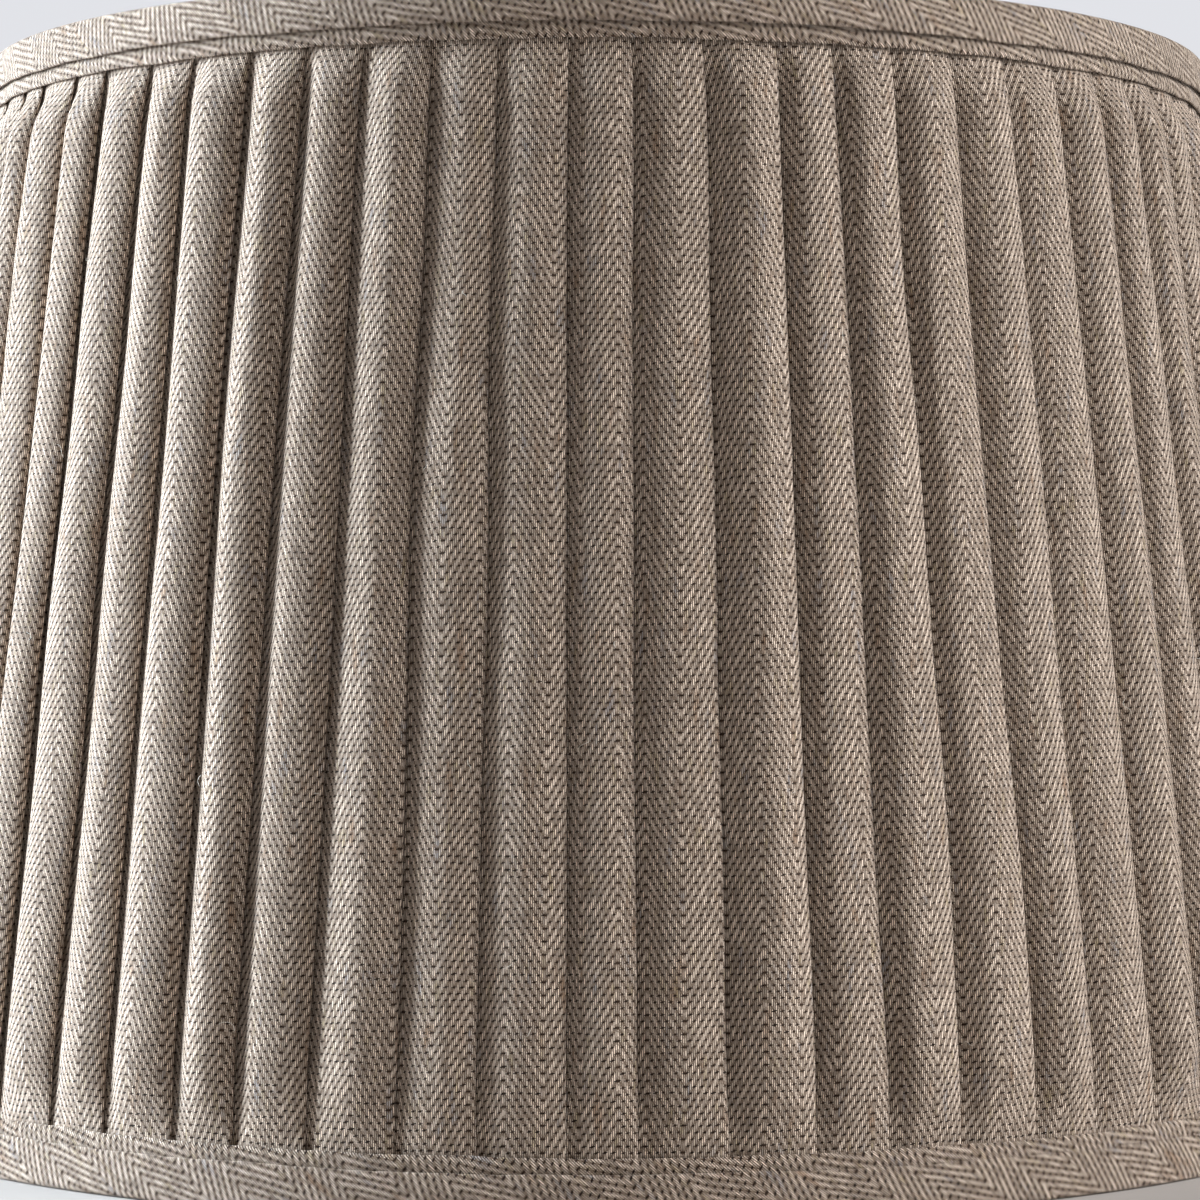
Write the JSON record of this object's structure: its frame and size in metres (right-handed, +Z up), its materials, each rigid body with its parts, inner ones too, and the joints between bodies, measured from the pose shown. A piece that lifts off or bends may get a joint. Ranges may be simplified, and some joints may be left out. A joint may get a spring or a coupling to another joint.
{
  "type": "pleated empire lamp shade",
  "caption": "Tapered softback lamp shade with knife-pleated herringbone cloth, bias trims, fabric lining and a wire frame with a recessed spider.",
  "frame": {"origin": "centre of the bottom rim's plane", "axes": "+Z up along the shade's axis from the bottom rim to the top rim; -Y faces the viewer; the cover's two seams lie at +X and -X"},
  "size_m": [0.4398, 0.4398, 0.3076],
  "materials": {
    "herringbone_cloth": "woven wool and linen herringbone twill",
    "lining_cloth": "plain woven off-white lining",
    "frame_wire": "brass-plated steel wire"
  },
  "bodies": {
    "root": {"top_ring": "frame_wire", "bottom_ring": "frame_wire", "rib_1": "frame_wire", "rib_2": "frame_wire", "rib_3": "frame_wire", "rib_4": "frame_wire", "rib_5": "frame_wire", "rib_6": "frame_wire", "rib_7": "frame_wire", "rib_8": "frame_wire", "spider_arm_1": "frame_wire", "spider_arm_2": "frame_wire", "spider_arm_3": "frame_wire", "spider_washer": "frame_wire", "lining": "lining_cloth", "pleated_cover_front": "herringbone_cloth", "pleated_cover_back": "herringbone_cloth", "top_trim_narrow": "herringbone_cloth", "bottom_trim_narrow": "herringbone_cloth", "top_trim_wide": "herringbone_cloth", "bottom_trim_wide": "herringbone_cloth"}
  },
  "joints": []
}
